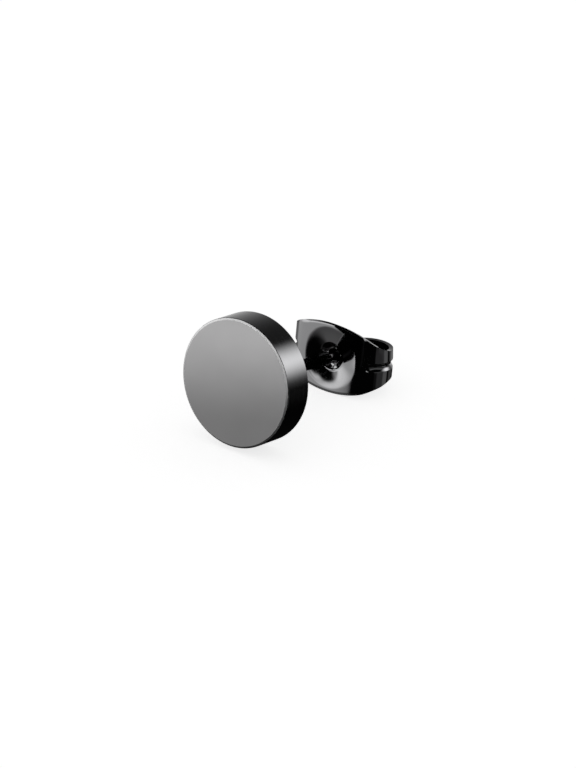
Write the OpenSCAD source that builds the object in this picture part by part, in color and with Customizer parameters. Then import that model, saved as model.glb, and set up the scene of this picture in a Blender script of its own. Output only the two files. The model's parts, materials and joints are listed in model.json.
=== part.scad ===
// Round disc stud earring with a butterfly clutch, in millimetres.
// It lies on its side, as it rests by itself: on the disc's rim and on the lower edge
// of the clutch's plate. The disc faces -Y, the post runs back along +Y and a little down.

/* [Disc] */
// Diameter of the disc
disc_d = 8; // [7:0.5:12]
// Thickness of the disc
disc_t = 2.05; // [1.2:0.05:2.5]
// Width of the bevel around the front face
front_bevel = 0.07; // [0.05:0.01:0.3]
// Width of the broken edge around the back face
back_bevel = 0.05; // [0.02:0.01:0.1]

/* [Post] */
// Diameter of the post
post_d = 0.8; // [0.7:0.05:1]
// Length of the post behind the disc
post_len = 11.2; // [11.2:0.1:13]
// Radius of the solder fillet at the foot of the post
solder_r = 0.2; // [0.1:0.05:0.3]
// Depth of the notch where the clutch's hole stands
notch_depth = 0.07; // [0.03:0.01:0.12]
// Length of the notch along the post
notch_len = 0.8; // [0.6:0.1:1]

/* [Clutch] */
// Distance from the disc's back to the front of the clutch's plate
clutch_gap = 7.7; // [6:0.1:8.2]
// Thickness of the sheet metal
sheet_t = 0.25; // [0.2:0.01:0.3]
// Height of the plate at its middle
plate_h = 4.4; // [4:0.1:5]
// Radius of the plate's upper and lower edges
plate_edge_r = 7.5; // [6:0.5:12]
// Distance from the post's axis to the start of each curl
curl_start = 1.8; // [1.7:0.05:2]
// Outer radius of the curls
curl_r = 1.6; // [1.5:0.05:1.7]
// Height of the strip at the back of the curls
curl_h = 2; // [1.8:0.1:2.6]
// Diameter of the dish pressed into the plate
dish_d = 3.2; // [2.6:0.1:3.2]
// Depth of the dish
dish_depth = 0.5; // [0.3:0.05:0.6]
// Depth of the groove pressed along the curls
groove_depth = 0.12; // [0.06:0.01:0.15]
// Radius of the groove's hollow
groove_r = 0.55; // [0.4:0.05:0.7]

/* [Fits] */
// Gap between the post and the rim of the clutch's hole
hole_gap = 0.08; // [0.05:0.01:0.1]
// Gap between the post and the groove of each curl
grip_gap = 0.05; // [0.03:0.01:0.08]

/* [Hidden] */
$fn = 96;

black_plating = [0.16, 0.16, 0.17];
black_sheet = [0.2, 0.2, 0.21];

disc_r = disc_d / 2;
post_r = post_d / 2;
tip_y = disc_t + post_len;

// The clutch, measured from the front face of its plate
clutch_y = disc_t + clutch_gap;
hole_r = post_r + hole_gap;
dish_r = dish_d / 2;
dish_ball_r = (dish_r * dish_r + dish_depth * dish_depth) / (2 * dish_depth);
dish_ball_z = dish_depth - dish_ball_r;
dish_lip = 0.1;

// Each curl is a half turn, and then a tighter arc in to the post, which lies in the groove
end_angle = 210;
inner_r = curl_start - post_r - grip_gap + groove_depth;
inner_z = 2 * curl_r - inner_r;
groove_angle = 145;

// The strip narrows behind the plate along a hollow arc to the height of the curls
narrow_z = 1.5;
narrow_from = plate_h - 0.3;
narrow_rise = (narrow_from - curl_h) / 2;
narrow_r = (narrow_z * narrow_z + narrow_rise * narrow_rise) / (2 * narrow_rise);
clutch_size = 10;

// The notch is centred under the plate
notch_mid = clutch_y + sheet_t / 2 + 0.1;

// The line through the rim's lowest edge and the plate's lowest edge lies on the surface
rim_y = disc_t - back_bevel;
plate_y = clutch_y + sheet_t;
lie_angle = atan2(disc_r - plate_h / 2, plate_y - rim_y);
lift = disc_r * cos(lie_angle) + rim_y * sin(lie_angle);
front_end = -(disc_r - front_bevel) * sin(lie_angle);
back_end = (tip_y - post_r) * cos(lie_angle) + post_r;
middle = (front_end + back_end) / 2;

module rest_pose() {
    translate([0, -middle, lift])
        rotate([-lie_angle, 0, 0])
            children();
}

// Half outline of the disc and its post: distance from the axis, then distance back
module stud_profile() {
    polygon([
        [0, 0],
        [disc_r - front_bevel, 0],
        [disc_r, front_bevel],
        [disc_r, disc_t - back_bevel],
        [disc_r - back_bevel, disc_t],
        [0, disc_t]
    ]);
    difference() {
        translate([0, disc_t - front_bevel])
            square([post_r, post_len + front_bevel - post_r]);
        notch_profile();
    }
    intersection() {
        translate([0, tip_y - post_r])
            circle(post_r);
        translate([0, tip_y - post_r])
            square(post_r);
    }
    solder_profile();
}

// A shallow round-bottomed groove, cut by a circle through the notch's depth and length
module notch_profile() {
    half = notch_len / 2;
    notch_r = (half * half + notch_depth * notch_depth) / (2 * notch_depth);
    translate([post_r - notch_depth + notch_r, notch_mid])
        circle(notch_r);
}

module solder_profile() {
    difference() {
        translate([0, disc_t - back_bevel])
            square([post_r + solder_r, solder_r + back_bevel]);
        translate([post_r + solder_r, disc_t + solder_r])
            circle(solder_r);
    }
}

module disc_with_post() {
    color(black_plating)
        rest_pose()
            rotate([-90, 0, 0])
                rotate_extrude()
                    stud_profile();
}

// Outline of the sheet seen along the post, out to the curls' widest point
module plate_outline(reach) {
    centre_y = plate_edge_r - plate_h / 2;
    intersection() {
        translate([0, centre_y])
            circle(plate_edge_r);
        translate([0, -centre_y])
            circle(plate_edge_r);
        square([2 * reach, plate_h], center = true);
    }
}

// The flat middle of the sheet, with the dish around the hole
module clutch_plate() {
    difference() {
        union() {
            linear_extrude(sheet_t)
                plate_outline(curl_start);
            intersection() {
                translate([0, 0, dish_ball_z])
                    sphere(dish_ball_r + sheet_t);
                cylinder(r = dish_r + dish_lip, h = dish_depth + sheet_t);
            }
        }
        translate([0, 0, dish_ball_z])
            sphere(dish_ball_r);
        cylinder(r = hole_r, h = 2 * (dish_depth + sheet_t));
    }
}

// Part of a ring around an axis that stands up at curl_start, z back from the plate
module curl_sweep(z, from, angle) {
    translate([curl_start, 0, z])
        rotate([90, 0, 0])
            rotate([0, 0, from])
                rotate_extrude(angle = angle)
                    children();
}

module strip_section(r) {
    translate([r - sheet_t, -plate_h / 2])
        square([sheet_t, plate_h]);
}

module groove_section(r) {
    translate([r - groove_depth + groove_r, 0])
        circle(groove_r);
}

module curled_strip() {
    difference() {
        union() {
            curl_sweep(curl_r, -90, 180)
                strip_section(curl_r);
            curl_sweep(inner_z, 90, end_angle - 90)
                strip_section(inner_r);
        }
        curl_sweep(curl_r, 90, -groove_angle)
            groove_section(curl_r);
        curl_sweep(inner_z, 90, end_angle - 80)
            groove_section(inner_r);
    }
}

// Outline of the strip seen from the side, which narrows behind the plate
module side_outline() {
    difference() {
        translate([0, -narrow_from / 2])
            square([clutch_size, narrow_from]);
        for (side = [-1, 1]) {
            translate([narrow_z, side * (curl_h / 2 + narrow_r)])
                circle(narrow_r);
            translate([narrow_z + clutch_size / 2, side * (curl_h + clutch_size) / 2])
                square(clutch_size, center = true);
        }
    }
}

module clutch_curl() {
    intersection() {
        curled_strip();
        linear_extrude(clutch_size)
            plate_outline(curl_start + curl_r + 1);
        rotate([0, -90, 0])
            linear_extrude(clutch_size, center = true)
                side_outline();
    }
}

module butterfly_clutch() {
    color(black_sheet)
        rest_pose()
            translate([0, clutch_y, 0])
                rotate([-90, 0, 0]) {
                    clutch_plate();
                    clutch_curl();
                    mirror([1, 0, 0])
                        clutch_curl();
                }
}

disc_with_post();
butterfly_clutch();
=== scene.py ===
# Looks of the round disc stud earring and its butterfly clutch.
# Each piece is modelled in the stud's own frame, with the disc's face at Y 0, the post along +Y
# and Z up the disc. Then its mesh is laid down where the stud lies. Lengths are in metres.
import json
import math

import bmesh
import bpy
from mathutils import Matrix, Vector


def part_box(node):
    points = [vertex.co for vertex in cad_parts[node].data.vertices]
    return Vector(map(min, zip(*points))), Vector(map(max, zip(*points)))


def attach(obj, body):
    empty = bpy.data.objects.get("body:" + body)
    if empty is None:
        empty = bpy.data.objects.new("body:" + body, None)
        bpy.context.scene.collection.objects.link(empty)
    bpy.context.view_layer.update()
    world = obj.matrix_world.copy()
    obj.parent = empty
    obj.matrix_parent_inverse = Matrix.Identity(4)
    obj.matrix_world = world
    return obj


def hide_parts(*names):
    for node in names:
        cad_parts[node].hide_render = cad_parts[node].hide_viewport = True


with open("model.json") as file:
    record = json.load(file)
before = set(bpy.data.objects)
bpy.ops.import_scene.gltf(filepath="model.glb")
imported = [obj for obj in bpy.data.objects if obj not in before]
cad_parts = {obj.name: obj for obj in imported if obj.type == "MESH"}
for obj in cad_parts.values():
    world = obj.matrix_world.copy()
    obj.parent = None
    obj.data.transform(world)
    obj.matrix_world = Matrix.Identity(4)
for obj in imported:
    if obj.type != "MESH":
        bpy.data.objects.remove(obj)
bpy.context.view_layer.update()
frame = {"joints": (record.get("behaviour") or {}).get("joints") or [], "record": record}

MM = 0.001
# Points closer together than this are one point
TOUCHING = 1e-7


def lay_down_matrix():
    """From the stud's own frame to where it lies, by the frame's face mount and slide joint."""
    face = next(m for m in frame["record"]["mounts"] if m["name"] == "disc_face")
    back = Vector(frame["joints"][0]["axis"])
    tilt = math.atan2(-back.z, back.y)
    return Matrix.Translation(face["pos_m"]) @ Matrix.Rotation(-tilt, 4, "X")


LAID = lay_down_matrix()

DISC_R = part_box("disc_with_post")[1].x
DISC_T = 2.05 * MM
POST_R = 0.4 * MM
POST_TIP = 13.25 * MM
PLATE_FRONT = 9.75 * MM


# Camera: above the disc and to its front right, all but upright, with the photograph's framing
CAMERA_AZIMUTH = math.radians(36.63)
CAMERA_ELEVATION = math.radians(26.26)
CAMERA_ROLL = math.radians(0.3)
CAMERA_DISTANCE = 200 * MM
CAMERA_LENS_MM = 157.2
CAMERA_SEES_FROM = 10 * MM
CAMERA_SEES_TO = 20
AIM_RIGHT = 3.158 * MM
AIM_UP = -0.097 * MM


def camera_axes():
    """Unit vectors to the right, up and towards the camera."""
    across = Vector((math.cos(CAMERA_AZIMUTH), math.sin(CAMERA_AZIMUTH), 0))
    level = Vector((math.sin(CAMERA_AZIMUTH), -math.cos(CAMERA_AZIMUTH), 0))
    toward = level * math.cos(CAMERA_ELEVATION) + Vector((0, 0, math.sin(CAMERA_ELEVATION)))
    right = across * math.cos(CAMERA_ROLL) - toward.cross(across) * math.sin(CAMERA_ROLL)
    return right, toward.cross(right), toward


def make_camera():
    right, up, toward = camera_axes()
    data = bpy.data.cameras.new("camera")
    data.lens = CAMERA_LENS_MM
    data.clip_start = CAMERA_SEES_FROM
    data.clip_end = CAMERA_SEES_TO
    camera = bpy.data.objects.new("camera", data)
    aim = LAID.translation + right * AIM_RIGHT + up * AIM_UP
    camera.location = aim + toward * CAMERA_DISTANCE
    camera.rotation_mode = "QUATERNION"
    camera.rotation_quaternion = Matrix((right, up, toward)).transposed().to_quaternion()
    bpy.context.scene.collection.objects.link(camera)
    bpy.context.scene.camera = camera


make_camera()


# Modelling helpers
def smooth_step(low, high, x):
    """From 0 at low to 1 at high, level at both ends."""
    t = min(max((x - low) / (high - low), 0), 1)
    return t * t * (3 - 2 * t)


def line_to(bm, point, x, y):
    """Draws a straight line from the last point of an outline, and returns the new last point."""
    new = bmesh.ops.extrude_vert_indiv(bm, verts=[point])["verts"][0]
    new.co = (x, y, 0)
    return new


def arc_to(bm, point, centre, degrees, steps):
    """Draws an arc from the last point of an outline, and returns the new last point."""
    swept = bmesh.ops.spin(
        bm, geom=[point], cent=(*centre, 0), axis=(0, 0, 1), angle=math.radians(degrees), steps=steps
    )
    return next(g for g in swept["geom_last"] if isinstance(g, bmesh.types.BMVert))


def revolve(bm, steps):
    """Turns an outline once around the post's axis."""
    bmesh.ops.spin(
        bm,
        geom=bm.verts[:] + bm.edges[:],
        cent=(0, 0, 0),
        axis=(0, 1, 0),
        angle=math.tau,
        steps=steps,
        use_merge=True,
    )
    bmesh.ops.remove_doubles(bm, verts=bm.verts, dist=TOUCHING)
    bmesh.ops.recalc_face_normals(bm, faces=bm.faces)


def turned_and_lifted(pivot_y, turn, lift):
    """A turn around a point on the post's axis, and then a lift."""
    pivot = Matrix.Translation((0, pivot_y, 0))
    return Matrix.Translation((0, 0, lift)) @ pivot @ turn @ pivot.inverted()


def finish_piece(bm, name, body, node, materials):
    """Lays the mesh down and makes it a piece that stands for its CAD node."""
    bmesh.ops.transform(bm, matrix=LAID, verts=bm.verts)
    mesh = bpy.data.meshes.new(name)
    bm.to_mesh(mesh)
    bm.free()
    for polygon in mesh.polygons:
        polygon.use_smooth = True
    for material in materials:
        mesh.materials.append(material)
    piece = bpy.data.objects.new(name, mesh)
    bpy.context.scene.collection.objects.link(piece)
    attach(piece, body)
    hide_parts(node)
    return piece


# Disc, solder and post. The bevel slopes back from the face to the rim, rounded at both ends,
# and its lighter finish, a painted highlight, ends at its depth, where the rounding to the rim starts.
DISC_STEPS = 192
FRONT_BEVEL = 0.13 * MM
BEVEL_SLOPE_DEGREES = 30
BEVEL_DEPTH = 0.058 * MM
FACE_ROUND = 0.03 * MM
FACE_ROUND_STEPS = 3
RIM_ROUND = 0.06 * MM
RIM_ROUND_STEPS = 8
BACK_ROUND = 0.06 * MM
BACK_ROUND_STEPS = 6
SOLDER_R = 0.2 * MM
SOLDER_STEPS = 8
NOTCH_DEPTH = 0.07 * MM
NOTCH_HALF = 0.4 * MM
NOTCH_MID = PLATE_FRONT + 0.225 * MM
NOTCH_STEPS = 10
TIP_STEPS = 12

# A ring of points this far from each rounding keeps the shading of the flat beside it flat
HOLDING_RING = 0.03 * MM

# The disc is soldered on a little askew: its top leans forward, and its right side a little
DISC_PIVOT = 1.75 * MM
DISC_PITCH = Matrix.Rotation(math.radians(3.86), 4, "X")
DISC_YAW = Matrix.Rotation(math.radians(-1.32), 4, "Z")
DISC_LIFT = 0.035 * MM
ASKEW = turned_and_lifted(DISC_PIVOT, DISC_YAW @ DISC_PITCH, DISC_LIFT)


def draw_stud_outline(bm):
    """Half outline of the disc, solder and post: distance from the axis, then distance back."""
    notch_r = (NOTCH_HALF**2 + NOTCH_DEPTH**2) / (2 * NOTCH_DEPTH)
    notch_turn = math.degrees(2 * math.asin(NOTCH_HALF / notch_r))
    slope = math.radians(BEVEL_SLOPE_DEGREES)
    face_edge = DISC_R - FRONT_BEVEL - FACE_ROUND * math.tan(slope / 2)
    bevel_end = FRONT_BEVEL * math.tan(slope) + RIM_ROUND * math.tan(math.pi / 4 - slope / 2)
    arc_from = DISC_R - RIM_ROUND * (1 - math.sin(slope))
    p = bm.verts.new((0, 0, 0))
    p = line_to(bm, p, face_edge - HOLDING_RING, 0)
    p = line_to(bm, p, face_edge, 0)
    p = arc_to(bm, p, (face_edge, FACE_ROUND), BEVEL_SLOPE_DEGREES, FACE_ROUND_STEPS)
    p = line_to(bm, p, arc_from, bevel_end - RIM_ROUND * math.cos(slope))
    p = arc_to(bm, p, (DISC_R - RIM_ROUND, bevel_end), 90 - BEVEL_SLOPE_DEGREES, RIM_ROUND_STEPS)
    p = line_to(bm, p, DISC_R, bevel_end + HOLDING_RING)
    p = line_to(bm, p, DISC_R, DISC_T - BACK_ROUND - HOLDING_RING)
    p = line_to(bm, p, DISC_R, DISC_T - BACK_ROUND)
    p = arc_to(bm, p, (DISC_R - BACK_ROUND, DISC_T - BACK_ROUND), 90, BACK_ROUND_STEPS)
    p = line_to(bm, p, DISC_R - BACK_ROUND - HOLDING_RING, DISC_T)
    p = line_to(bm, p, POST_R + SOLDER_R + HOLDING_RING, DISC_T)
    p = line_to(bm, p, POST_R + SOLDER_R, DISC_T)
    p = arc_to(bm, p, (POST_R + SOLDER_R, DISC_T + SOLDER_R), -90, SOLDER_STEPS)
    p = line_to(bm, p, POST_R, DISC_T + SOLDER_R + HOLDING_RING)
    p = line_to(bm, p, POST_R, NOTCH_MID - NOTCH_HALF)
    p = arc_to(bm, p, (POST_R - NOTCH_DEPTH + notch_r, NOTCH_MID), -notch_turn, NOTCH_STEPS)
    p = line_to(bm, p, POST_R, POST_TIP - POST_R - HOLDING_RING)
    p = line_to(bm, p, POST_R, POST_TIP - POST_R)
    arc_to(bm, p, (0, POST_TIP - POST_R), 90, TIP_STEPS)


def disc_with_post():
    """The disc stands askew and the post straight, and the solder runs from one to the other."""
    bm = bmesh.new()
    draw_stud_outline(bm)
    revolve(bm, DISC_STEPS)
    for v in bm.verts:
        straight = v.co.copy()
        radius = math.hypot(straight.x, straight.z)
        beyond = straight.y - DISC_T if radius < POST_R + SOLDER_R else 0
        v.co = (ASKEW @ straight).lerp(straight, smooth_step(0, SOLDER_R, beyond))
    return bm


# Clutch: a flat blank with a hole, stamped with the dish and the grooves, and then curled
SHEET_T = 0.25 * MM
HOLE_R = 0.48 * MM
PLATE_HALF_H = 2.25 * MM
UPPER_EDGE_R = 6.2 * MM
LOWER_EDGE_R = 7.0 * MM
NECK_DEPTH = 0.05 * MM
NECK_FROM = 2.4 * MM
NECK_AT = 3.2 * MM
NECK_END = 4.2 * MM
STRIP_HALF_H = 0.89 * MM
STRIP_BLEND = 0.3 * MM

# Rows of points: rings around the hole, then on to a rectangle whose corner lies on one of the
# steps around the hole, then along the curls, closer together in the middle, at the groove
AROUND_HALF = 96
RINGS = 40
RING_GAP = 0.0255 * MM
PLATE_ROWS = 14
CORNER_STEP = 27
BLANK_HALF = PLATE_HALF_H / math.tan(math.pi * CORNER_STEP / AROUND_HALF)
CURL_ROWS = 112
GATHERED = 0.55
GATHERED_BY = 3 * MM

# Bend of the sheet along its length: nearly flat in the middle, then two curls
CROWN_R = 33 * MM
BEND_FROM = 1.353 * MM
BEND_FULL = 2.553 * MM
CURL_R = 1.562 * MM
TIGHT_R = 1.528 * MM
CURL_END = math.radians(300)
BEND_STEP = 0.005 * MM

# Stamping
DISH_R = 2.05 * MM
DISH_FLOOR_R = 0.8 * MM
DISH_DEPTH = 0.3 * MM
DISH_SWELL = 1.45
BEAD_R = 0.87 * MM
BEAD_HALF = 0.08 * MM
BEAD_HEIGHT = 0.02 * MM
BEAD_AT = math.radians(-45)
THROAT_R = 0.94 * MM
THROAT_DEPTH = 0.27 * MM
PETALS = 5
FIRST_CREASE = math.radians(92)
CREASE_HALF = 0.045 * MM
CREASE_DEPTH = 0.05 * MM
FOLD_DEPTH = 0.11 * MM
FOLD_FROM = 0.1 * MM
FOLD_FULL = 2.0 * MM
FOLD_LOW = -0.4 * MM
FOLD_HIGH = 1.4 * MM
GROOVE_DEPTH = 0.13 * MM
GROOVE_HALF = 0.26 * MM
GROOVE_FROM = 2.5 * MM
GROOVE_FULL = 3.3 * MM
WIDE_GROOVE_HALF = 0.36 * MM
WIDE_GROOVE_FROM = 6 * MM
WIDE_GROOVE_FULL = 8 * MM
ROLL_WIDTH = 0.2 * MM
ROLL_SLOPE = 0.45
ROLL_END = 3.5 * MM

# The modifier that rounds the sheared edges narrows the rounding to what the tightest place
# leaves room for, so that it comes out under 0.001 mm and the edges look sharp
SHEARED_ROUND = 0.12 * MM
SHEARED_ROUND_STEPS = 5
SHEARED_ANGLE = math.radians(50)

# The clutch has play on the post: its back sits a little up and its right side a little down
PLAY_PIVOT = PLATE_FRONT + 0.4 * MM
PLAY_PITCH = Matrix.Rotation(math.radians(5.4), 4, "X")
PLAY_ROLL = Matrix.Rotation(math.radians(1.1), 4, "Y")
PLAY_LIFT = 0.1 * MM
CROOKED = turned_and_lifted(PLAY_PIVOT, PLAY_PITCH @ PLAY_ROLL, PLAY_LIFT)


# In these rules s runs along the blank from its middle, and w up it
def half_height(s, w):
    """Half height of the blank at s along it: an arc, a little flatter below, then a strip."""
    edge_r = UPPER_EDGE_R if w > 0 else LOWER_EDGE_R
    over = PLATE_HALF_H - s * s / (2 * edge_r) - STRIP_HALF_H
    narrowing = smooth_step(NECK_FROM, NECK_AT, s)
    neck = NECK_DEPTH * narrowing * (1 - smooth_step(NECK_AT, NECK_END, s))
    return STRIP_HALF_H + (over + math.hypot(over, STRIP_BLEND)) / 2 - neck


def bend_line():
    """Places and headings at each step along the front of one half of the sheet."""
    line = [(0, 0, 0)]
    while line[-1][2] < CURL_END:
        x, y, heading = line[-1]
        curling = smooth_step(BEND_FROM, BEND_FULL, len(line) * BEND_STEP)
        bend = 1 / CROWN_R + (1 / CURL_R - 1 / CROWN_R) * curling
        if heading > math.pi:
            bend = 1 / TIGHT_R
        middle = heading + bend * BEND_STEP / 2
        x += math.cos(middle) * BEND_STEP
        y += math.sin(middle) * BEND_STEP
        line.append((x, y, heading + bend * BEND_STEP))
    return line


BEND_LINE = bend_line()
HALF_LENGTH = (len(BEND_LINE) - 2) * BEND_STEP


def curled(s, depth):
    """Place across and back of a point at s along the blank and at a depth behind its front."""
    whole = min(int(s / BEND_STEP), len(BEND_LINE) - 2)
    part = s / BEND_STEP - whole
    x, y, heading = (a + (b - a) * part for a, b in zip(BEND_LINE[whole], BEND_LINE[whole + 1]))
    return x - math.sin(heading) * depth, y + math.cos(heading) * depth


def grow(bm, edges, place):
    """Extrudes a row of edges, places the new row by a rule, and returns its edges."""
    new = bmesh.ops.extrude_edge_only(bm, edges=edges)["geom"]
    for v in (g for g in new if isinstance(g, bmesh.types.BMVert)):
        v.co = place(v.co)
    return [g for g in new if isinstance(g, bmesh.types.BMEdge) and all(v in new for v in g.verts)]


def to_border(co):
    """Where the ray from the hole's centre through co meets the border of the plate's rectangle."""
    side = BLANK_HALF / co.x if co.x > TOUCHING else math.inf
    top = PLATE_HALF_H / abs(co.z) if abs(co.z) > TOUCHING else math.inf
    return co * min(side, top)


def half_blank():
    """The right half of the blank: rings around the hole, run out to a rectangle, and a strip."""
    bm = bmesh.new()
    first = bm.verts.new((0, 0, -HOLE_R))
    bmesh.ops.spin(
        bm, geom=[first], cent=(0, 0, 0), axis=(0, 1, 0), angle=-math.pi, steps=AROUND_HALF
    )
    row = bm.edges[:]
    for i in range(RINGS):
        wider = 1 + RING_GAP / (HOLE_R + i * RING_GAP)
        row = grow(bm, row, lambda co: co * wider)
    for i in range(PLATE_ROWS):
        share = 1 / (PLATE_ROWS - i)
        row = grow(bm, row, lambda co: co.lerp(to_border(co), share))
    row = [e for e in row if all(abs(v.co.x - BLANK_HALF) < TOUCHING for v in e.verts)]
    step = Vector(((HALF_LENGTH - BLANK_HALF) / CURL_ROWS, 0, 0))
    for _ in range(CURL_ROWS):
        row = grow(bm, row, lambda co: co + step)
    return bm


def trim_to_outline(bm):
    """Brings every column of the blank to the blank's own height there."""
    for v in bm.verts:
        share = min(abs(v.co.z) / PLATE_HALF_H, 1)
        near_edge = smooth_step(HOLE_R + RINGS * RING_GAP, BLANK_HALF, max(v.co.x, abs(v.co.z)))
        gathering = smooth_step(BLANK_HALF, GATHERED_BY, v.co.x) * GATHERED
        gathered = share * (1 + gathering * (share * share - 1))
        height = PLATE_HALF_H + (half_height(v.co.x, v.co.z) - PLATE_HALF_H) * near_edge
        v.co.z = math.copysign(gathered * height, v.co.z)


def dish(s, w):
    """Depth of the dish, with the throat around the hole and a bead beside it, low on the right."""
    r = math.hypot(s, w)
    inwards = min(max(DISH_R - r, 0), DISH_R - DISH_FLOOR_R) / (DISH_R - DISH_FLOOR_R)
    beside = max(0, math.cos(math.atan2(w, s) - BEAD_AT))
    bead = BEAD_HEIGHT * max(0, 1 - ((r - BEAD_R) / BEAD_HALF) ** 2) * beside
    throat = THROAT_DEPTH * (1 - smooth_step(HOLE_R, THROAT_R, r))
    return DISH_DEPTH * inwards**DISH_SWELL - bead + throat


def creases(s, w):
    """Depth of the narrow creases between the petals around the hole."""
    r = math.hypot(s, w)
    turn = (math.atan2(w, s) - FIRST_CREASE) * PETALS / math.tau
    off = abs(turn - round(turn)) * math.tau / PETALS * r
    fading = 1 - smooth_step(HOLE_R, THROAT_R, r)
    return CREASE_DEPTH * math.exp(-((off / CREASE_HALF) ** 2)) * fading


def fold(s, w):
    """How far the upper right of the plate is drawn back by the stamping."""
    return FOLD_DEPTH * smooth_step(FOLD_FROM, FOLD_FULL, s) * smooth_step(FOLD_LOW, FOLD_HIGH, w)


def groove(s, w):
    """Depth of the groove pressed along the curl, which is wider where it holds the post."""
    widening = smooth_step(WIDE_GROOVE_FROM, WIDE_GROOVE_FULL, s)
    off = w / (GROOVE_HALF + (WIDE_GROOVE_HALF - GROOVE_HALF) * widening)
    return GROOVE_DEPTH * smooth_step(GROOVE_FROM, GROOVE_FULL, s) * max(0, 1 - off * off)


def rolled_edge(s, w):
    """How far the shearing has drawn the plate's edge back, close to its border."""
    past = max(0, ROLL_WIDTH - (half_height(s, w) - abs(w)))
    fading = 1 - smooth_step(BLANK_HALF, ROLL_END, s)
    return ROLL_SLOPE * past * past / (2 * ROLL_WIDTH) * fading


def butterfly_clutch():
    """The sheet's front side, which a modifier thickens afterwards."""
    bm = half_blank()
    trim_to_outline(bm)
    half = bm.verts[:] + bm.edges[:] + bm.faces[:]
    bmesh.ops.mirror(bm, geom=half, axis="X", merge_dist=TOUCHING)
    bmesh.ops.recalc_face_normals(bm, faces=bm.faces)
    bm.faces.ensure_lookup_table()
    if bm.faces[0].normal.y > 0:
        bmesh.ops.reverse_faces(bm, faces=bm.faces)
    for v in bm.verts:
        across, w = v.co.x, v.co.z
        s = abs(across)
        stamped = dish(across, w) + creases(across, w) + groove(s, w)
        x, y = curled(s, stamped + fold(across, w) + rolled_edge(s, w))
        v.co = (math.copysign(x, across), PLATE_FRONT + y, w)
    bmesh.ops.transform(bm, matrix=CROOKED, verts=bm.verts)
    return bm


# Finishes
FLOAT = "NodeSocketFloat"
VECTOR = "NodeSocketVector"
COLOR = "NodeSocketColor"


class NodeTree:
    """A node tree with short ways to add nodes and join them."""

    def __init__(self, tree):
        self.tree = tree

    def add(self, kind, inputs=(), **settings):
        """Adds a node; an input is a value, or the output that feeds it."""
        node = self.tree.nodes.new(kind)
        for name, value in settings.items():
            setattr(node, name, value)
        for name, value in dict(inputs).items():
            if isinstance(value, bpy.types.NodeSocket):
                self.tree.links.new(value, node.inputs[name])
            else:
                node.inputs[name].default_value = value
        return node

    def math(self, operation, a, b=0.0):
        return self.add("ShaderNodeMath", {0: a, 1: b}, operation=operation).outputs[0]

    def ramp(self, value, low, high, out_low=0.0, out_high=1.0):
        """Carries value from one range to another, softly at both ends."""
        ends = {"From Min": low, "From Max": high, "To Min": out_low, "To Max": out_high}
        inputs = {"Value": value, **ends}
        return self.add("ShaderNodeMapRange", inputs, interpolation_type="SMOOTHSTEP").outputs[0]

    def noise(self, place, scale, detail, roughness=0.5):
        inputs = {"Vector": place, "Scale": scale, "Detail": detail, "Roughness": roughness}
        return self.add("ShaderNodeTexNoise", inputs).outputs[0]

    def group(self, tree, inputs):
        return self.add("ShaderNodeGroup", inputs, node_tree=tree).outputs


def new_group(name, inputs, outputs):
    """A node group with its named inputs and outputs, and its first and last nodes."""
    tree = bpy.data.node_groups.new(name, "ShaderNodeTree")
    for socket, kind, value in inputs:
        made = tree.interface.new_socket(socket, in_out="INPUT", socket_type=kind)
        if value is not None:
            made.default_value = value
    for socket, kind in outputs:
        tree.interface.new_socket(socket, in_out="OUTPUT", socket_type=kind)
    nodes = NodeTree(tree)
    return nodes, nodes.add("NodeGroupInput").outputs, nodes.add("NodeGroupOutput").inputs


def new_pattern(name, inputs):
    """A group that gives the height of a pattern and a mask of its marks at a position."""
    position = ("Position", VECTOR, None)
    return new_group(name, [position, *inputs], [("Height", FLOAT), ("Mask", FLOAT)])


def make_turning_lines():
    """Fine lines around the post's axis, as a lathe and a polishing wheel leave them."""
    nodes, given, result = new_pattern(
        "turning_lines", [("Lines per mm", FLOAT, 9), ("Waviness", FLOAT, 0.6)]
    )
    place = nodes.add("ShaderNodeSeparateXYZ", {0: given["Position"]}).outputs
    across = nodes.math("POWER", place["X"], 2)
    up = nodes.math("POWER", place["Z"], 2)
    radius = nodes.math("SQRT", nodes.math("ADD", across, up))
    along = nodes.math("SUBTRACT", radius, place["Y"])
    turn = nodes.math("ARCTAN2", place["Z"], place["X"])
    lines = {
        "X": nodes.math("MULTIPLY", along, given["Lines per mm"]),
        "Y": nodes.math("MULTIPLY", turn, given["Waviness"]),
    }
    line = nodes.add("ShaderNodeCombineXYZ", lines).outputs[0]
    noise = nodes.noise(line, scale=1, detail=3, roughness=0.6)
    nodes.tree.links.new(noise, result["Height"])
    nodes.tree.links.new(nodes.ramp(noise, low=0.35, high=0.7), result["Mask"])
    return nodes.tree


def make_rubbed_lines():
    """Short straight lines across a flat face, as rubbing on fine paper leaves them."""
    nodes, given, result = new_pattern(
        "rubbed_lines", [("Lines per mm", FLOAT, 16), ("Length", FLOAT, 1.5)]
    )
    place = nodes.add("ShaderNodeSeparateXYZ", {0: given["Position"]}).outputs
    lines = {
        "X": nodes.math("DIVIDE", place["X"], given["Length"]),
        "Y": place["Y"],
        "Z": nodes.math("MULTIPLY", place["Z"], given["Lines per mm"]),
    }
    stretched = nodes.add("ShaderNodeCombineXYZ", lines).outputs[0]
    noise = nodes.noise(stretched, scale=1, detail=4, roughness=0.65)
    nodes.tree.links.new(noise, result["Height"])
    nodes.tree.links.new(nodes.ramp(noise, low=0.35, high=0.7), result["Mask"])
    return nodes.tree


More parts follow.
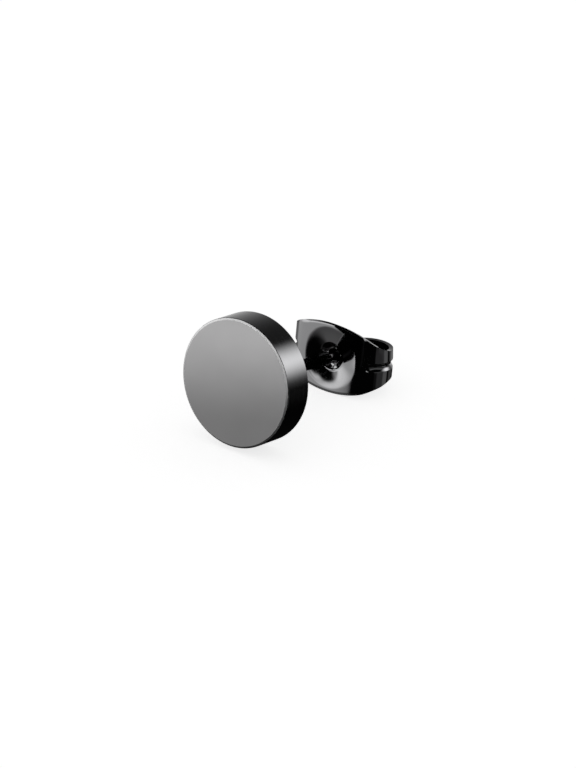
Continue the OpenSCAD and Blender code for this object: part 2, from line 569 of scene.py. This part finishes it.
def make_tumble_marks():
    """Tiny soft dents all over, as tumbling in the plating barrel leaves them."""
    nodes, given, result = new_pattern("tumble_marks", [("Marks per mm", FLOAT, 3)])
    place, scale = given["Position"], given["Marks per mm"]
    dents = nodes.add(
        "ShaderNodeTexVoronoi", {"Vector": place, "Scale": scale}, feature="SMOOTH_F1"
    )
    grain = nodes.noise(place, scale, detail=3)
    height = nodes.math("MULTIPLY", dents.outputs["Distance"], grain)
    nodes.tree.links.new(height, result["Height"])
    nodes.tree.links.new(nodes.ramp(grain, low=0.45, high=0.75), result["Mask"])
    return nodes.tree


def make_plating_tone():
    """Slow drift in the plating's darkness over a piece."""
    nodes, given, result = new_group(
        "plating_tone",
        [
            ("Position", VECTOR, None),
            ("Patches per mm", FLOAT, 0.35),
            ("Grey", COLOR, None),
            ("Drift", FLOAT, 0.06),
        ],
        [("Color", COLOR)],
    )
    patch = nodes.ramp(
        nodes.noise(given["Position"], given["Patches per mm"], detail=2), low=0.3, high=0.7
    )
    drift = nodes.math("MULTIPLY", given["Drift"], nodes.math("SUBTRACT", patch, 0.5))
    value = nodes.math("ADD", 1, drift)
    tone = nodes.add("ShaderNodeHueSaturation", {"Color": given["Grey"], "Value": value})
    nodes.tree.links.new(tone.outputs[0], result["Color"])
    return nodes.tree


TURNING_LINES = make_turning_lines()
RUBBED_LINES = make_rubbed_lines()
TUMBLE_MARKS = make_tumble_marks()
PLATING_TONE = make_plating_tone()


def stud_position(nodes):
    """Millimetres in the stud's own frame: the post along Y from the face's centre."""
    back = LAID.to_3x3().inverted()
    lying = {
        "Vector": nodes.add("ShaderNodeTexCoord").outputs["Object"],
        "Location": -(back @ LAID.translation) / MM,
        "Rotation": back.to_euler(),
        "Scale": (1 / MM,) * 3,
    }
    return nodes.add("ShaderNodeMapping", lying).outputs[0]


def black_plating(name, grey, pattern, polish, depth):
    """Black-plated steel: polish is the roughness where it is clean and where it is marked."""
    material = bpy.data.materials.new(name)
    material.use_nodes = True
    nodes = NodeTree(material.node_tree)
    shader = nodes.tree.nodes["Principled BSDF"]
    position = stud_position(nodes)
    tone = nodes.group(PLATING_TONE, {"Position": position, "Grey": grey})
    marks = nodes.group(pattern, {"Position": position})
    roughness = nodes.ramp(marks["Mask"], 0, 1, *polish)
    bumps = {"Height": marks["Height"], "Distance": depth, "Strength": 1}
    bump = nodes.add("ShaderNodeBump", bumps)
    nodes.tree.links.new(tone["Color"], shader.inputs["Base Color"])
    nodes.tree.links.new(roughness, shader.inputs["Roughness"])
    nodes.tree.links.new(bump.outputs[0], shader.inputs["Normal"])
    shader.inputs["Metallic"].default_value = 1
    return material


# The bevel is satin, and its grey is lighter than the plating's: a painted highlight that draws a
# light line around the face
PLATING_GREY = (0.16, 0.16, 0.163, 1)
BEVEL_HIGHLIGHT_GREY = (0.36, 0.36, 0.363, 1)
face_metal = black_plating(
    "rubbed_black_face", PLATING_GREY, RUBBED_LINES, polish=(0.1, 0.13), depth=0.00002 * MM
)
turned_metal = black_plating(
    "turned_black_steel", PLATING_GREY, TURNING_LINES, polish=(0.11, 0.16), depth=0.0002 * MM
)
bevel_highlight_metal = black_plating(
    "satin_bevel_painted_highlight", BEVEL_HIGHLIGHT_GREY, TURNING_LINES, polish=(0.42, 0.5), depth=0.0002 * MM
)
sheet_metal = black_plating(
    "tumbled_black_sheet", PLATING_GREY, TUMBLE_MARKS, polish=(0.07, 0.11), depth=0.0006 * MM
)

stud_metals = [turned_metal, face_metal, bevel_highlight_metal]
stud = finish_piece(
    disc_with_post(), "disc_and_post", "stud", "disc_with_post", stud_metals
)
face_frame = (LAID @ ASKEW).inverted()
for polygon in stud.data.polygons:
    behind_face = (face_frame @ polygon.center).y
    if behind_face < TOUCHING:
        polygon.material_index = stud_metals.index(face_metal)
    # The bevel's polygons get the lighter grey, a painted highlight
    elif behind_face < BEVEL_DEPTH:
        polygon.material_index = stud_metals.index(bevel_highlight_metal)

clutch = finish_piece(
    butterfly_clutch(),
    "butterfly_clutch_sheet",
    "clutch",
    "butterfly_clutch",
    [sheet_metal],
)
wall = clutch.modifiers.new("sheet", "SOLIDIFY")
wall.thickness = SHEET_T
wall.offset = -1
wall.use_even_offset = True
edge = clutch.modifiers.new("sheared_edge", "BEVEL")
edge.width = SHEARED_ROUND
edge.segments = SHEARED_ROUND_STEPS
edge.limit_method = "ANGLE"
edge.angle_limit = SHEARED_ANGLE
edge.harden_normals = True


# Floor: white paper with a glow of its own, so that it is as pale as the studio behind it
FLOOR_HALF = 2
PAPER_COLOR = (0.96, 0.96, 0.96, 1)
PAPER_GLOW = 0.76
FIBRES_PER_M = 900


def make_floor():
    bm = bmesh.new()
    bmesh.ops.create_grid(bm, x_segments=1, y_segments=1, size=FLOOR_HALF)
    mesh = bpy.data.meshes.new("floor")
    bm.to_mesh(mesh)
    bm.free()
    paper = bpy.data.materials.new("white_paper")
    paper.use_nodes = True
    nodes = NodeTree(paper.node_tree)
    shader = nodes.tree.nodes["Principled BSDF"]
    place = nodes.add("ShaderNodeTexCoord").outputs["Object"]
    fibre = nodes.noise(place, FIBRES_PER_M, detail=3)
    roughness = nodes.ramp(fibre, low=0.2, high=0.8, out_low=0.92, out_high=0.97)
    nodes.tree.links.new(roughness, shader.inputs["Roughness"])
    shader.inputs["Base Color"].default_value = PAPER_COLOR
    shader.inputs["Specular IOR Level"].default_value = 0
    shader.inputs["Emission Strength"].default_value = PAPER_GLOW
    mesh.materials.append(paper)
    floor = bpy.data.objects.new("floor", mesh)
    bpy.context.scene.collection.objects.link(floor)
    floor.visible_glossy = False


make_floor()


# A small graded card in front of the disc's face, which the face mirrors and the camera doesn't
# see. It is clear to rays that come from farther off than its reach.
CARD_DISTANCE = 10 * MM
CARD_REACH = 15 * MM
CARD_HALF = 3.8 * MM
CARD_STRETCH = 1.4
CARD_LOW = 0.5 * MM
CARD_HIGH = 6.9 * MM
CARD_LEAN = 0.18
CARD_DIM = 1.06
CARD_BRIGHT = 2.5
CARD_COLOR = (1, 0.993, 0.98, 1)


def make_card():
    _, _, toward = camera_axes()
    face = LAID @ ASKEW
    face_out = -(face.to_3x3() @ Vector((0, 1, 0)))
    mirrored = 2 * toward.dot(face_out) * face_out - toward
    bm = bmesh.new()
    bmesh.ops.create_grid(bm, x_segments=1, y_segments=1, size=CARD_HALF)
    moved = Matrix.Translation(face.translation + mirrored * CARD_DISTANCE)
    turned = mirrored.to_track_quat("Z", "Y").to_matrix().to_4x4()
    stretched = Matrix.Diagonal((1, CARD_STRETCH, 1, 1))
    bmesh.ops.transform(bm, matrix=moved @ turned @ stretched, verts=bm.verts)
    mesh = bpy.data.meshes.new("graded_card")
    bm.to_mesh(mesh)
    bm.free()
    glow = bpy.data.materials.new("graded_card")
    glow.use_nodes = True
    nodes = NodeTree(glow.node_tree)
    nodes.tree.nodes.clear()
    place = nodes.add("ShaderNodeTexCoord").outputs["Object"]
    upwards = {0: place, 1: (-CARD_LEAN, 0, 1)}
    height = nodes.add("ShaderNodeVectorMath", upwards, operation="DOT_PRODUCT").outputs["Value"]
    strength = nodes.ramp(height, CARD_LOW, CARD_HIGH, CARD_DIM, CARD_BRIGHT)
    light = nodes.add("ShaderNodeEmission", {"Color": CARD_COLOR, "Strength": strength})
    ray_length = nodes.add("ShaderNodeLightPath").outputs["Ray Length"]
    near = nodes.math("LESS_THAN", ray_length, CARD_REACH)
    clear = nodes.add("ShaderNodeBsdfTransparent")
    shown = nodes.add("ShaderNodeMixShader", {0: near, 1: clear.outputs[0], 2: light.outputs[0]})
    nodes.add("ShaderNodeOutputMaterial", {"Surface": shown.outputs[0]})
    mesh.materials.append(glow)
    card = bpy.data.objects.new("graded_card", mesh)
    bpy.context.scene.collection.objects.link(card)
    card.visible_camera = False
    card.visible_diffuse = False
    card.visible_shadow = False
    card.visible_transmission = False


make_card()


# What the polished metal mirrors: soft windows in a dark studio, in degrees. Bearings run from
# straight in front to the right, and elevations up from level.
WINDOWS = [
    # left, its blur, right, its blur, bottom, its blur, top, its blur, strength
    (-94, 22, -27, 10, -20.5, 10, -14, 4, 1.75),
    (-102, 10, -27, 10, -14, 4, 6, 4, 1.75),
    (-102, 10, -28, 10, -8, 7, 6, 7, 1.35),
    (-75, 8, -29, 8, -4, 5, 3, 5, 0.6),
    (-100, 8, -41, 8, 3, 8, 18, 8, 1.3),
    (-27, 5, -22, 5, -3, 6, 7, 4, 2.6),
    (-125, 14, -26, 14, -46, 10, -18, 6, 0.38),
    (-60, 25, 45, 25, -50, 14, -34, 14, 0.08),
    (66, 6, 131, 6, -17, 12, 10, 10, 0.12),
    (78, 10, 133, 10, -32, 6, -15, 6, 0.14),
    (110, 8, 135, 6, -32, 6, -15, 6, 0.32),
    (148, 6, 176, 6, -31, 4, -19, 6, 0.17),
]
# Windows for the disc's edges and rim, which show only where the metal mirrors them directly
EDGE_WINDOWS = [
    (126, 24, 155, 24, 4, 27, 34, 27, 5.4),
    (126, 16, 155, 16, -12, 8, -5, 6, 0.15),
    (-195, 30, -135, 30, -24, 8, 7, 68, 1.15),
    (4, 8, 40, 8, 4, 8, 32, 10, 3.2),
    (-62, 10, 18, 10, 29, 6, 48, 8, 4.2),
    (-92, 8, -64, 8, 10, 8, 38, 8, 3.6),
    (68, 10, 124, 10, 7, 8, 24, 8, 0.5),
]
WINDOW_INPUTS = [
    "Left", "Left Blur", "Right", "Right Blur", "Bottom", "Bottom Blur", "Top", "Top Blur", "Strength"
]
CAMERA_PALE = 1.0
FLOOR_PALE = 0.33
DARK = 0.005
MIRRORED_ONCE = 1.5


def make_soft_window():
    """A window of light between two bearings and two elevations, with soft edges."""
    names = ["Bearing", "Elevation", *WINDOW_INPUTS]
    nodes, given, result = new_group("soft_window", [(n, FLOAT, 0) for n in names], [("Light", FLOAT)])

    def inside(value, name, inwards):
        past = nodes.math("MULTIPLY", nodes.math("SUBTRACT", value, given[name]), inwards)
        return nodes.ramp(nodes.math("DIVIDE", past, given[name + " Blur"]), -0.5, 0.5)

    left = inside(given["Bearing"], "Left", 1)
    right = inside(given["Bearing"], "Right", -1)
    bottom = inside(given["Elevation"], "Bottom", 1)
    top = inside(given["Elevation"], "Top", -1)
    side = nodes.math("MULTIPLY", left, right)
    height = nodes.math("MULTIPLY", bottom, top)
    light = nodes.math("MULTIPLY", nodes.math("MULTIPLY", side, height), given["Strength"])
    nodes.tree.links.new(light, result["Light"])
    return nodes.tree


def make_studio():
    """Pale to the camera and the floor, and a dark studio with soft windows to the metal."""
    world = bpy.data.worlds.new("studio")
    world.use_nodes = True
    bpy.context.scene.world = world
    nodes = NodeTree(world.node_tree)
    nodes.tree.nodes.clear()
    direction = nodes.add("ShaderNodeTexCoord").outputs["Generated"]
    axis = nodes.add("ShaderNodeSeparateXYZ", {0: direction}).outputs
    ahead = nodes.math("MULTIPLY", axis["Y"], -1)
    bearing = nodes.math("MULTIPLY", nodes.math("ARCTAN2", axis["X"], ahead), math.degrees(1))
    elevation = nodes.math("MULTIPLY", nodes.math("ARCSINE", axis["Z"]), math.degrees(1))
    soft_window = make_soft_window()
    ray = nodes.add("ShaderNodeLightPath").outputs
    direct = nodes.math("LESS_THAN", ray["Glossy Depth"], MIRRORED_ONCE)

    def lit(windows):
        """Adds the windows up; one that runs past straight behind is there twice."""
        light = 0.0
        for window in windows:
            for turn in [0, 360] if window[0] < -180 else [0]:
                inputs = {"Bearing": bearing, "Elevation": elevation}
                inputs.update(zip(WINDOW_INPUTS, window))
                inputs["Left"] += turn
                inputs["Right"] += turn
                light = nodes.math("ADD", light, nodes.group(soft_window, inputs)["Light"])
        return light

    around = nodes.math("ADD", lit(WINDOWS), DARK)
    light = nodes.math("ADD", around, nodes.math("MULTIPLY", lit(EDGE_WINDOWS), direct))
    mirrored = nodes.add("ShaderNodeBackground", {"Strength": light}).outputs[0]
    paleness = {0: ray["Is Camera Ray"], 2: FLOOR_PALE, 3: CAMERA_PALE}
    strength = nodes.add("ShaderNodeMix", paleness, data_type="FLOAT").outputs[0]
    pale = nodes.add("ShaderNodeBackground", {"Strength": strength}).outputs[0]
    chosen = nodes.add("ShaderNodeMixShader", {0: ray["Is Glossy Ray"], 1: pale, 2: mirrored})
    nodes.add("ShaderNodeOutputWorld", {0: chosen.outputs[0]})


make_studio()
bpy.context.scene.view_settings.view_transform = "Standard"
